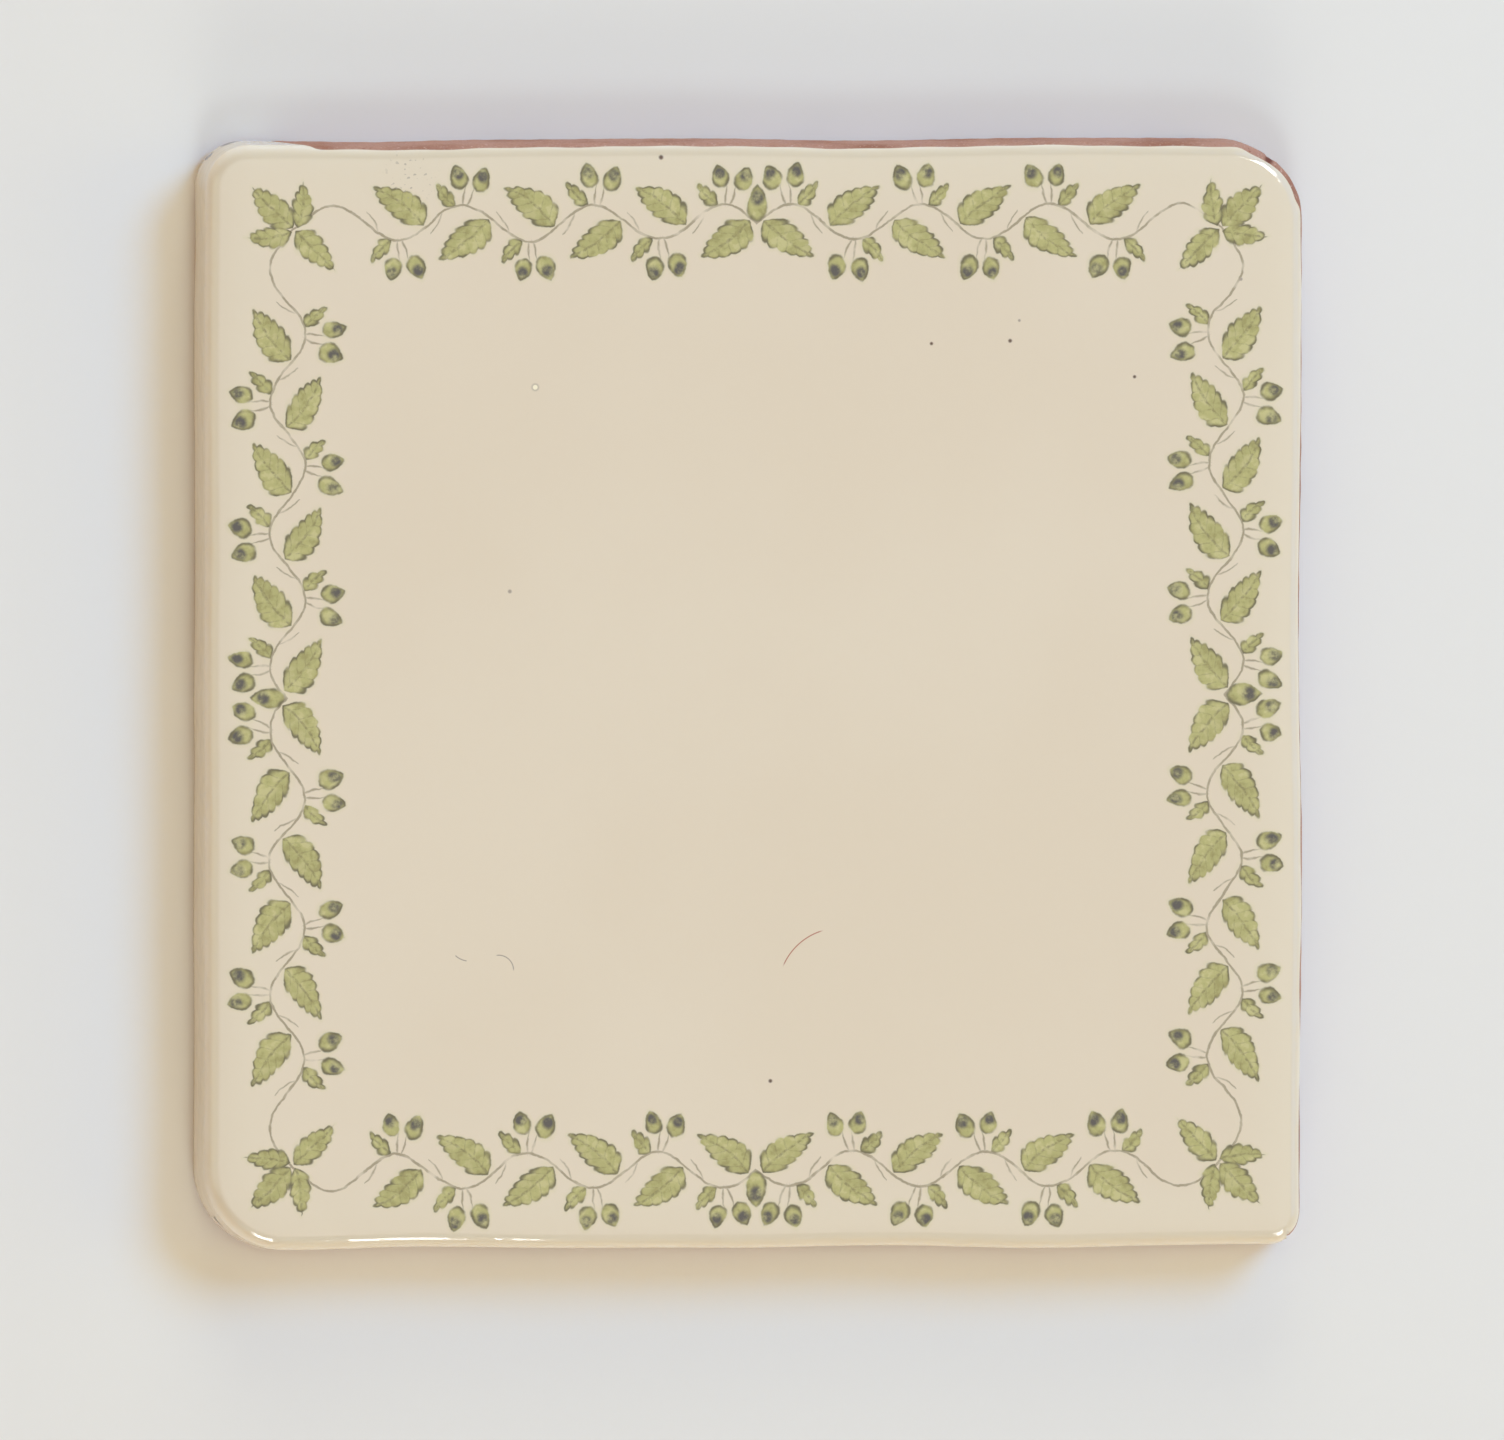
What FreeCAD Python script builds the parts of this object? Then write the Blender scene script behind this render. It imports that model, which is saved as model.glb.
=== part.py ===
"""A handmade square wall tile of fired clay, with hand-cut wavy sides and a soft rolled shoulder.

The tile lies on its back. X runs across the face, Y runs up it, and Z points out of the face.
The origin is the middle of the flat back. All sizes are millimetres.
"""

import FreeCAD, Part
import math
import os

import Sketcher


SHEET = "Sizes"
NODE = "border_tile"

# Driving sizes. Width, length and corner radii are those of the nominal outline at the face,
# about which the sides wander.
SIZES = {
    "tile_width": 131.0,
    "tile_length": 130.4,
    "thickness": 10.0,
    "side_splay": 0.45,
    "shoulder_roll": 2.0,
    "foot_arris": 0.5,
    "bottom_left_corner": 9.6,
    "bottom_right_corner": 3.8,
    "top_right_corner": 9.2,
    "top_left_corner": 5.2,
}

# How far each hand-cut side wanders out (plus) or in (minus) at its wave stations, which are
# evenly spaced. Every side is walked anticlockwise, seen from the face.
WAVES = {
    "bottom": (-0.50, 0.05, 0.00, 0.15, -0.30, 0.55, 0.05),
    "right": (-0.05, 0.15, 0.30, -0.15, -0.30, 0.05, 0.00),
    "top": (0.20, 0.10, -0.35, 0.20, 0.10, 0.12, -0.28),
    "left": (0.15, 0.12, -0.10, 0.16, -0.12, 0.10, -0.15),
}

# Each side's first and last corner, the size it runs along and the one it stands across,
# whether it runs along X, and its walking and outward directions on the two axes.
SIDES = {
    "bottom": ("bottom_left", "bottom_right", "tile_width", "tile_length", True, 1, -1),
    "right": ("bottom_right", "top_right", "tile_length", "tile_width", False, 1, 1),
    "top": ("top_right", "top_left", "tile_width", "tile_length", True, -1, 1),
    "left": ("top_left", "bottom_left", "tile_length", "tile_width", False, -1, -1),
}

# Where each corner's arc starts, counted in quarter turns from the X axis.
CORNER_QUADRANTS = {"bottom_right": 3, "top_right": 0, "top_left": 1, "bottom_left": 2}
QUARTER_TURN = math.pi / 2

UP = FreeCAD.Vector(0, 0, 1)
SPLINE_DEGREE = 3
UNIT_WEIGHT = 1.0

# The sketcher's numbers for the parts of a piece of geometry, and for the sketch's own origin.
START, END, CENTRE = range(1, 4)
SKETCH_ORIGIN = (-1, START)


def make_sheet(document):
    """Write the driving sizes and the wave offsets, one named cell each."""
    cells = dict(SIZES)
    for side, offsets in WAVES.items():
        for station, offset in enumerate(offsets, start=1):
            cells[f"{side}_wave_{station}"] = offset
    sheet = document.addObject("Spreadsheet::Sheet", SHEET)
    for row, (name, value) in enumerate(cells.items(), start=1):
        sheet.set(f"A{row}", name)
        sheet.set(f"B{row}", str(value))
        sheet.setAlias(f"B{row}", name)
    document.recompute()
    return sheet


def cell(name):
    """How an expression names a cell of the sheet."""
    return f"{SHEET}.{name}"


def origin_plane(body, role):
    """The body's own origin plane that has this role."""
    planes = [plane for plane in body.Origin.OriginFeatures if plane.Role == role]
    return planes[0]


def pole_shares(stations):
    """How far along the straight of a side its poles lie, as shares of the straight.

    The second pole and the last but one stay on the straight line, so that the side leaves its
    corner arcs without a kink.
    """
    step = 1 / (stations + 1)
    waves = [station * step for station in range(1, stations + 1)]
    return [0, step / 2] + waves + [1 - step / 2, 1]


def side_poles(side, growth):
    """The poles of one wavy side, each as its two expressions in the sketch."""
    first_corner, last_corner, run_size, reach_size, along_x, walk, outward = SIDES[side]
    first = cell(f"{first_corner}_corner")
    last = cell(f"{last_corner}_corner")
    run = cell(run_size)
    reach = cell(reach_size)
    stations = len(WAVES[side])
    waves = [cell(f"{side}_wave_{station}") for station in range(1, stations + 1)]
    wanders = ["0", "0"] + waves + ["0", "0"]
    poles = []
    for share, wander in zip(pole_shares(stations), wanders):
        along = f"{walk} * ({first} - {run} / 2 + ({run} - {first} - {last}) * {share})"
        across = f"{outward} * ({reach} / 2 + {growth} + {wander})"
        poles.append((along, across) if along_x else (across, along))
    return poles


def bind(sketch, kind, places, words):
    """Add one driving distance or radius to the sketch, bound to the sheet."""
    value = sketch.evalExpression(words)
    index = sketch.addConstraint(Sketcher.Constraint(kind, *places, value))
    sketch.setExpression(f"Constraints[{index}]", words)


def add_side(sketch, poles):
    """Draw one wavy side as a spline whose poles are each tied to the sketch's origin."""
    at = [FreeCAD.Vector(*(sketch.evalExpression(words) for words in pole)) for pole in poles]
    spline = Part.BSplineCurve()
    spline.buildFromPoles(at, False, SPLINE_DEGREE)
    side = sketch.addGeometry(spline)
    first_ring = None
    for number, (point, pole) in enumerate(zip(at, poles)):
        ring = sketch.addGeometry(Part.Circle(point, UP, UNIT_WEIGHT), True)
        align = "InternalAlignment:Sketcher::BSplineControlPoint"
        sketch.addConstraint(Sketcher.Constraint(align, ring, CENTRE, side, number))
        if first_ring is None:
            first_ring = ring
            sketch.addConstraint(Sketcher.Constraint("Weight", ring, UNIT_WEIGHT))
        else:
            sketch.addConstraint(Sketcher.Constraint("Equal", first_ring, ring))
        for kind, words in zip(("DistanceX", "DistanceY"), pole):
            bind(sketch, kind, SKETCH_ORIGIN + (ring, CENTRE), words)
    return side


def add_corner(sketch, corner, growth):
    """Draw one corner as a quarter circle; its ends are joined to the sides afterwards."""
    start = CORNER_QUADRANTS[corner] * QUARTER_TURN
    bisector = start + QUARTER_TURN / 2
    corner_cell = cell(f"{corner}_corner")
    centre_x = sketch.evalExpression(f"{cell('tile_width')} / 2 - {corner_cell}")
    centre_y = sketch.evalExpression(f"{cell('tile_length')} / 2 - {corner_cell}")
    centre = FreeCAD.Vector(
        math.copysign(centre_x, math.cos(bisector)),
        math.copysign(centre_y, math.sin(bisector)),
    )
    radius_words = f"{corner_cell} + {growth}"
    circle = Part.Circle(centre, UP, sketch.evalExpression(radius_words))
    arc = sketch.addGeometry(Part.ArcOfCircle(circle, start, start + QUARTER_TURN))
    bind(sketch, "Radius", (arc,), radius_words)
    return arc


def add_outline(body, name, growth, height):
    """Sketch the whole wavy outline at one height, grown outwards by the splay."""
    sketch = body.newObject("Sketcher::SketchObject", name)
    sketch.AttachmentSupport = [(origin_plane(body, "XY_Plane"), "")]
    sketch.MapMode = "FlatFace"
    sketch.setExpression("AttachmentOffset.Base.z", height)
    sides = {side: add_side(sketch, side_poles(side, growth)) for side in SIDES}
    corners = {corner: add_corner(sketch, corner, growth) for corner in CORNER_QUADRANTS}
    for side, (first, last, *_) in SIDES.items():
        join = Sketcher.Constraint("Coincident", corners[first], END, sides[side], START)
        sketch.addConstraint(join)
        join = Sketcher.Constraint("Coincident", sides[side], END, corners[last], START)
        sketch.addConstraint(join)
    return sketch


def flat_face(shape, height):
    """The name of the face whose lowest and highest points are nearest to this height."""
    misses = []
    for number, face in enumerate(shape.Faces, start=1):
        box = face.BoundBox
        miss = max(abs(box.ZMin - height), abs(box.ZMax - height))
        misses.append((miss, f"Face{number}"))
    nearest = min(misses)
    return nearest[1]


def ease_rim(body, kind, name, base, height):
    """Round or chamfer the whole edge of the flat face that lies at this height."""
    easing = body.newObject(f"PartDesign::{kind}", name)
    easing.Base = (base, [flat_face(base.Shape, height)])
    return easing


def make_tile(document):
    """Loft the splayed walls between face and foot, roll the shoulder and ease the foot."""
    body = document.addObject("PartDesign::Body", "BorderTile")
    body.Label = NODE
    face = add_outline(body, "FaceOutline", "0", cell("thickness"))
    foot = add_outline(body, "FootOutline", cell("side_splay"), "0 mm")
    walls = body.newObject("PartDesign::AdditiveLoft", "SplayedWalls")
    walls.Profile = face
    walls.Sections = [foot]
    walls.Ruled = True
    document.recompute()
    face_height = face.AttachmentOffset.Base.z
    foot_height = foot.AttachmentOffset.Base.z

    shoulder = ease_rim(body, "Fillet", "RolledShoulder", walls, face_height)
    shoulder.setExpression("Radius", cell("shoulder_roll"))
    document.recompute()

    arris = ease_rim(body, "Chamfer", "FootArris", shoulder, foot_height)
    arris.setExpression("Size", cell("foot_arris"))
    body.Tip = arris
    return body


def check(document, bodies):
    """Stop if any object failed to compute, or if a sub-part has no valid solid."""
    for item in document.Objects:
        if "Invalid" in item.State or "Error" in item.State:
            raise RuntimeError(f"{item.Label} failed: {item.State}")
    for body in bodies:
        if body.Shape.isNull() or not body.Shape.isValid():
            raise RuntimeError(f"{body.Label} has no valid shape")


def write_steps(bodies, folder="parts"):
    """Write each sub-part to a STEP file named after its label."""
    os.makedirs(folder, exist_ok=True)
    for body in bodies:
        body.Shape.exportStep(os.path.join(folder, f"{body.Label}.step"))


document = FreeCAD.newDocument("BorderTile")
make_sheet(document)
bodies = [make_tile(document)]
document.recompute()
check(document, bodies)
write_steps(bodies)
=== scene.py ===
"""The looks of a handmade square wall tile: fired clay under a cream glaze, with a printed leafy border.

The tile lies on its back with its face up. X runs across the face, Y up it, and Z out of it.
Everything is in metres; MM turns a size in millimetres into metres.
"""

import math

import bpy
import numpy as np
from mathutils import Matrix, Vector


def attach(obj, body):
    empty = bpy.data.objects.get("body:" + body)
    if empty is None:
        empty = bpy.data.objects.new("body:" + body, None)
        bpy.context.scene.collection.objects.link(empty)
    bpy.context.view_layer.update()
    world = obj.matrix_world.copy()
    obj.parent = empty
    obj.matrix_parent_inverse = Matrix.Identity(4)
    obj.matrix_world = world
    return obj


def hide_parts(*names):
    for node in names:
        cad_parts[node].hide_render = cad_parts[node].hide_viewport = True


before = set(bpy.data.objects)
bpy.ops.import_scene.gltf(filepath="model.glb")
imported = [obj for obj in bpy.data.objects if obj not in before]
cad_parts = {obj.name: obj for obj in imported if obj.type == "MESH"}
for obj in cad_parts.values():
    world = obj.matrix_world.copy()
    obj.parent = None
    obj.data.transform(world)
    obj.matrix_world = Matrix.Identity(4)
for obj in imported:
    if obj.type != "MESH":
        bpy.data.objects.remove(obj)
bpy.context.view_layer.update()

NODE = "border_tile"
BODY = "root"
MM = 0.001


# The camera
# It hangs far above the tile and looks nearly straight down on it. It stands a little to the
# left and towards the top side, so that the left wall and the bare clay of the top wall show.
image_width_px = 1504
image_height_px = 1440
tile_middle_px = (750.5, 694.5)
pixels_per_mm = 8.46
camera_distance = 6.0
lean_left = math.radians(8.6)
lean_up = math.radians(2.4)
roll_left = math.radians(0.1)
sensor_width_mm = 36.0
camera_sight = 100.0
tile_middle = Vector((0, 0, 5 * MM))

view_width = image_width_px / pixels_per_mm * MM
to_camera = Vector((-math.tan(lean_left), math.tan(lean_up), 1)).normalized()
level_right = Vector((0, 1, 0)).cross(to_camera).normalized()
image_right = Matrix.Rotation(roll_left, 3, to_camera) @ level_right
image_up = to_camera.cross(image_right)
right_by_mm = (image_width_px / 2 - tile_middle_px[0]) / pixels_per_mm
down_by_mm = (image_height_px / 2 - tile_middle_px[1]) / pixels_per_mm
aim = tile_middle + image_right * right_by_mm * MM - image_up * down_by_mm * MM

camera = bpy.data.objects.new("camera", bpy.data.cameras.new("camera"))
camera.data.sensor_width = sensor_width_mm
camera.data.lens = sensor_width_mm * camera_distance / view_width
camera.data.clip_end = camera_sight
turn = Matrix((image_right, image_up, to_camera)).transposed().to_4x4()
camera.matrix_world = Matrix.Translation(aim + to_camera * camera_distance) @ turn
bpy.context.scene.collection.objects.link(camera)
bpy.context.scene.camera = camera


# The floor and the light
# The tile lies on a plain white table. Cool window light comes from the top right and the room's
# own light is warm, so the shadows at the left and the bottom are warm. More lamps, which only the
# glaze and the clay mirror, draw the bright lines and the soft gloss on the shoulder.
floor_size = 6.0
floor_colour = (0.853, 0.847, 0.842, 1)
floor_roughness = 0.65
room_light = (1.0, 0.72, 0.41, 1)
room_strength = 0.473

# The lamps that light the tile and the table: azimuth and elevation as seen from the tile, in
# degrees, width in metres, power in watts and colour.
lamps = {
    "window": (45, 45, 1.0, 28.5, (0.22, 0.54, 1.0)),
    "near_window": (-90, 56, 0.7, 6.6, (0.74, 0.90, 0.97)),
    "near_side": (-90, 20, 1.4, 15.4, (0.97, 0.98, 0.90)),
    "far_side": (90, 20, 1.4, 15.6, (1.0, 0.98, 0.71)),
    "right_side": (0, 20, 1.4, 8.1, (1.0, 0.82, 0.2)),
}
lamp_distance = 2.2
shoulder_height_mm = 9.5

# The lamps that the glaze mirrors: the place that shines, in millimetres from the tile's middle, the
# lamp's azimuth and elevation from there, its distance, width and height in metres, its radiance and
# its colour. The shines are the bright spots on the shoulder, the sheens the soft gloss all over.
shines = {
    "window_shine": ((60.8, 62.3), 40, 54, 2.2, 0.5, 0.95, 18.0, (1, 1, 1)),
    "edge_shine": ((-42.0, -64.3), -80, 31, 0.1, 0.0075, 0.030, 16.0, (1, 1, 1)),
    "short_edge_shine": ((-29.0, -64.3), -80, 31, 0.1, 0.0018, 0.024, 26.0, (1, 1, 1)),
    "left_corner_shine": ((-59.0, -64.3), -100, 34, 2.2, 0.45, 0.6, 20.0, (1, 1, 1)),
    "right_corner_shine": ((62.5, -63.7), -58, 34, 2.2, 0.55, 1.0, 16.0, (1, 1, 1)),
    "ceiling_sheen": ((0, 0), 0, 86, 2.2, 2.1, 2.7, 1.6, (1, 1, 1)),
    "left_sheen": ((-64, 0), 180, 33, 2.2, 1.8, 1.8, 1.6, (0.85, 1.0, 0.85)),
    "window_sheen": ((60, 60), 30, 35, 2.2, 3.0, 1.7, 2.2, (0.1, 0.4, 1.0)),
    "near_sheen": ((0, -64), -90, 42, 2.2, 2.6, 1.4, 0.5, (0.1, 0.8, 1.0)),
}

bpy.ops.mesh.primitive_plane_add(size=floor_size)
floor = bpy.context.object
floor.name = "floor"
floor_material = bpy.data.materials.new("pale_table")
floor_material.use_nodes = True
floor_shader = floor_material.node_tree.nodes["Principled BSDF"]
floor_shader.inputs["Base Color"].default_value = floor_colour
floor_shader.inputs["Roughness"].default_value = floor_roughness
floor_shader.inputs["Specular IOR Level"].default_value = 0.0
floor.data.materials.append(floor_material)

world = bpy.data.worlds.new("room")
world.use_nodes = True
background = world.node_tree.nodes["Background"]
background.inputs["Color"].default_value = room_light
background.inputs["Strength"].default_value = room_strength
bpy.context.scene.world = world
bpy.context.scene.view_settings.view_transform = "Standard"


def add_lamp(name, light, lit_place, azimuth, elevation, distance):
    """Stand a lamp in this direction and at this distance from a place, and face it there."""
    level = math.cos(math.radians(elevation))
    to_east = level * math.cos(math.radians(azimuth))
    to_north = level * math.sin(math.radians(azimuth))
    to_lamp = Vector((to_east, to_north, math.sin(math.radians(elevation))))
    stand = bpy.data.objects.new(name, light)
    stand.location = lit_place + to_lamp * distance
    stand.rotation_euler = to_lamp.to_track_quat("Z", "Y").to_euler()
    bpy.context.scene.collection.objects.link(stand)
    return stand


for name, (azimuth, elevation, width, power, colour) in lamps.items():
    light = bpy.data.lights.new(name, "AREA")
    light.shape = "DISK"
    light.size = width
    light.energy = power
    light.color = colour
    stand = add_lamp(name, light, tile_middle, azimuth, elevation, lamp_distance)
    stand.visible_glossy = False

for name, (spot_mm, azimuth, elevation, distance, width, height, radiance, colour) in shines.items():
    light = bpy.data.lights.new(name, "AREA")
    light.shape = "RECTANGLE"
    light.size = width
    light.size_y = height
    light.energy = radiance * math.pi * width * height
    light.color = colour
    lit_place = Vector((*spot_mm, shoulder_height_mm)) * MM
    stand = add_lamp(name, light, lit_place, azimuth, elevation, distance)
    stand.visible_diffuse = False
    stand.visible_camera = False


# The clay body
# One slab of terracotta, rolled out, cut by hand and fired. Its sides wander, its corners differ,
# its walls lean out towards the foot, and its back is flat, bare and a little uneven.
tile_size = np.array((131.0, 130.4)) * MM
thickness = 10.0 * MM
side_splay = 0.45 * MM
shoulder_roll = 2.0 * MM
foot_arris = 0.5 * MM
corner_radii = {"bottom_right": 3.8, "top_right": 9.2, "top_left": 5.2, "bottom_left": 9.6}

# Each side's first and last corner, its walking and outward directions, and how far it wanders
# out (plus) or in (minus) at evenly spaced stations, in millimetres. All are walked anticlockwise.
sides = (
    ("bottom_left", "bottom_right", (1, 0), (0, -1), (-0.50, 0.05, 0.00, 0.15, -0.30, 0.55, 0.05)),
    ("bottom_right", "top_right", (0, 1), (1, 0), (-0.05, 0.15, 0.30, -0.15, -0.30, 0.05, 0.00)),
    ("top_right", "top_left", (-1, 0), (0, 1), (0.20, 0.10, -0.35, 0.20, 0.10, 0.12, -0.28)),
    ("top_left", "bottom_left", (0, -1), (-1, 0), (0.15, 0.12, -0.10, 0.16, -0.12, 0.10, -0.15)),
)
spline_degree = 3
points_per_side = 400
points_per_corner = 60
points_around = 840

glaze_thickness = 0.30 * MM
glaze_bedding = 0.02 * MM
clay_rows_down = 44
clay_rings_on_top = 4
clay_rings_on_back = 16


def spline_weights(shares, poles):
    """How much each pole of a clamped uniform cubic B-spline counts at these shares of its run.

    In each higher degree a pole's weight is its own lower weight, rising over its knots, plus its
    neighbour's, falling over the next ones.
    """
    spans = poles - spline_degree
    clamp = np.ones(spline_degree)
    knots = np.concatenate([0 * clamp, np.arange(spans + 1), spans * clamp])
    at = np.clip(shares * spans, 0, np.nextafter(spans, 0))[:, None]
    weights = ((knots[:-1] <= at) & (at < knots[1:])).astype(float)
    for degree in range(1, spline_degree + 1):
        starts = knots[: -degree - 1]
        ends = knots[degree + 1 :]
        rising = (at - starts) / np.maximum(knots[degree:-1] - starts, np.finfo(float).eps)
        falling = (ends - at) / np.maximum(ends - knots[1:-degree], np.finfo(float).eps)
        weights = rising * weights[:, :-1] + falling * weights[:, 1:]
    return weights


def side_and_corner(side):
    """One hand-cut side, a spline with its poles wandering out and in, and the arc that follows it."""
    first, last, walk, outward, wander = side
    walk, outward = np.array(walk), np.array(outward)
    first, last = corner_radii[first] * MM, corner_radii[last] * MM
    run, reach = tile_size @ abs(walk), tile_size @ abs(outward)
    step = 1 / (len(wander) + 1)
    stations = step * np.arange(1, len(wander) + 1)
    shares = np.concatenate([[0, step / 2], stations, [1 - step / 2, 1]])
    offsets = np.pad(np.array(wander) * MM, 2)
    along = first - run / 2 + (run - first - last) * shares
    poles = along[:, None] * walk + (reach / 2 + offsets)[:, None] * outward
    cut = spline_weights(np.linspace(0, 1, points_per_side), len(poles)) @ poles
    turned = np.linspace(0, math.pi / 2, points_per_corner)[1:-1, None]
    arc = cut[-1] - last * outward + last * (np.cos(turned) * outward + np.sin(turned) * walk)
    return np.vstack([cut, arc])


def face_outline(count):
    """The outline at the face as evenly spaced points, and the outward direction at each."""
    line = np.vstack([side_and_corner(side) for side in sides])
    closed = np.vstack([line, line[:1]])
    walked = np.concatenate([[0], np.cumsum(np.linalg.norm(np.diff(closed, axis=0), axis=1))])
    at = np.linspace(0, walked[-1], count, endpoint=False)
    points = np.stack([np.interp(at, walked, closed[:, axis]) for axis in (0, 1)], axis=1)
    heading = np.roll(points, -1, axis=0) - np.roll(points, 1, axis=0)
    heading /= np.linalg.norm(heading, axis=1, keepdims=True)
    return points, np.stack([heading[:, 1], -heading[:, 0]], axis=1)


outline, outward = face_outline(points_around)
wall_lean = math.atan2(side_splay, thickness)
roll_turn = math.pi / 2 - wall_lean
flat_inset = shoulder_roll / math.tan((math.pi / 2 + wall_lean) / 2)
rim_slope = 0.17
rim_width = 3.0 * MM
rim_fall = rim_slope * rim_width / 2
rim_turn = math.atan(rim_slope)
rim_inset = flat_inset - shoulder_roll * math.sin(rim_turn)
roll_length = shoulder_roll * (roll_turn - rim_turn)
roll_drop = shoulder_roll * (math.cos(rim_turn) - math.cos(roll_turn))
wall_drop = thickness - rim_fall - foot_arris - roll_drop
skin_length = roll_length + wall_drop / math.cos(wall_lean)


def rings_at(out, height):
    """Closed rings round the tile: the outline moved out by out, at this height (rows by points)."""
    plan = outline + outward * out[..., None]
    return np.concatenate([plan, np.broadcast_to(height, out.shape)[..., None]], axis=-1)


def unevenness(places, wavelengths, seed):
    """Soft hand-made unevenness from 0 to 1 over the plan: the mean of sine waves that each run
    their own way, one for each wavelength."""
    draw = np.random.default_rng(seed)
    total = np.zeros(places.shape[:-1])
    for wavelength in wavelengths:
        heading, phase = draw.uniform(0, 2 * math.pi, 2)
        across = places[..., 0] * math.cos(heading) + places[..., 1] * math.sin(heading)
        total += np.sin(2 * math.pi * across / wavelength + phase)
    return 0.5 + 0.5 * total / len(wavelengths)


face_wavelengths = np.array((61, 37, 23, 17, 12.5)) * MM
face_unevenness = 0.10 * MM


def smoothstep(value):
    """Ease from 0 to 1 between the values 0 and 1."""
    share = np.clip(value, 0, 1)
    return share * share * (3 - 2 * share)


def skin(run, depth=0.0):
    """Rings on the tile's skin, run metres out and down from the face's rim, sunk inwards by depth.

    The section is an arc of the shoulder's radius, which starts at the rim's own slope, and then
    the leaning wall. The skin itself sinks unevenly, by up to face_unevenness.
    """
    run = np.broadcast_to(run, (len(run), points_around))
    turned = np.minimum(rim_turn + run / shoulder_roll, roll_turn)
    wall = np.maximum(run - roll_length, 0)
    out = shoulder_roll * np.sin(turned) - flat_inset + wall * math.sin(wall_lean)
    fall = shoulder_roll * (math.cos(rim_turn) - np.cos(turned)) + wall * math.cos(wall_lean)
    plan = outline + outward * out[..., None]
    sunk = depth + face_unevenness * unevenness(plan, face_wavelengths, seed=3)
    height = thickness - rim_fall - fall - sunk * np.cos(turned)
    return rings_at(out - sunk * np.sin(turned), height)


def face_rings(shares, depth=0.0):
    """Rings on the face: its rim drawn in towards the middle to these shares of its size.

    The face is level in the middle and falls more and more steeply over the last stretch before
    the rim, where it reaches the rim's slope.
    """
    rim = outline - outward * rim_inset
    plan = rim * shares[:, None, None]
    from_rim = (1 - shares) * tile_size.min() / 2
    fallen = rim_fall * np.maximum(1 - from_rim / rim_width, 0)[:, None] ** 2
    height = thickness - depth - fallen - face_unevenness * unevenness(plan, face_wavelengths, seed=3)
    return np.concatenate([plan, height[..., None]], axis=-1)


# Where the glaze ends, in millimetres out and down from the face's rim, on the side that faces
# each way. It ends high up round the two right corners, which face the ways given as angles: it
# thins as the cosine between the outline's way and the corner's rises from thin_from to thin_to. At
# the top left corner it runs further down, up to these places along the top side.
glaze_reach_mm = {(0, -1): 8.6, (1, 0): 2.05, (0, 1): 1.42, (-1, 0): 9.6}
thin_corners = {"top_right": {"faces": 42, "reach": 0.85}, "bottom_right": {"faces": -22, "reach": 1.45}}
thin_from, thin_to = 0.76, 0.90
corner_run = {"reach": 9.2 * MM, "from": -58.0 * MM, "to": -52.0 * MM}
reach_wavelengths = np.array((41, 19, 11, 7)) * MM
reach_wander = 0.5 * MM


def glaze_reach():
    """How far the glaze runs at each point round the tile.

    Each side counts by the square of how far the outline faces its way, so the corners blend two.
    """
    reach = np.zeros(points_around)
    for way, millimetres in glaze_reach_mm.items():
        reach += np.maximum(outward @ np.array(way), 0) ** 2 * millimetres * MM
    for corner in thin_corners.values():
        angle = math.radians(corner["faces"])
        facing = outward @ np.array((math.cos(angle), math.sin(angle)))
        eased = smoothstep((facing - thin_from) / (thin_to - thin_from))
        reach += (corner["reach"] * MM - reach) * eased
    eased = smoothstep((corner_run["to"] - outline[:, 0]) / (corner_run["to"] - corner_run["from"]))
    reach += (corner_run["reach"] - reach) * eased * (outline[:, 1] > 0)
    return reach + reach_wander * (unevenness(outline, reach_wavelengths, seed=8) - 0.5)


reach = glaze_reach()


def smooth_piece(name, rings, chart, hidden_from, hidden_chart):
    """A closed, smooth mesh through rings of points, with a centre point at its first and last ring.

    The map places every ring on the chart, and the ones from hidden_from on in a small patch.
    """
    rows, around = rings.shape[:2]
    ends = np.stack([rings[0].mean(axis=0), rings[-1].mean(axis=0)])
    points = np.vstack([rings.reshape(-1, 3), ends])
    row = np.arange(rows - 1)[:, None]
    here = np.arange(around)[None, :]
    beside = (here + 1) % around
    above, below = row * around, (row + 1) * around
    quads = np.stack([above + here, below + here, below + beside, above + beside], axis=-1).reshape(-1, 4)
    last = (rows - 1) * around
    here, beside = here[0], beside[0]
    first_fan = np.stack([np.full(around, rows * around), here, beside], axis=-1)
    last_fan = np.stack([last + here, np.full(around, rows * around + 1), last + beside], axis=-1)
    mesh = bpy.data.meshes.new(name)
    mesh.from_pydata(points.tolist(), [], quads.tolist() + first_fan.tolist() + last_fan.tolist())
    mesh.shade_smooth()

    shown, hidden = (
        np.vstack([flat.reshape(-1, 2), flat[0].mean(axis=0), flat[-1].mean(axis=0)])
        for flat in (chart, hidden_chart)
    )
    on_show = np.repeat(np.arange(rows - 1) < hidden_from, 4 * around)
    quad_places = np.where(on_show[:, None], shown[quads.ravel()], hidden[quads.ravel()])
    places = np.vstack([quad_places, shown[first_fan.ravel()], hidden[last_fan.ravel()]])
    layer = mesh.uv_layers.new(name="OFBake")
    layer.data.foreach_set("uv", places.ravel())

    piece = bpy.data.objects.new(name, mesh)
    bpy.context.scene.collection.objects.link(piece)
    return piece


# The bake map lays the face (or the back) out flat with the walls folded out round it. Hidden
# faces share a small patch in the map's corner.
map_middle = 0.5
map_width = 154 * MM
patch_size = 0.02
patch_corner = 0.01


def folded_out(out):
    """Places on the bake map of rings that lie this far outside the outline once folded flat."""
    return map_middle + (outline + outward * out[..., None]) / map_width


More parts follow.
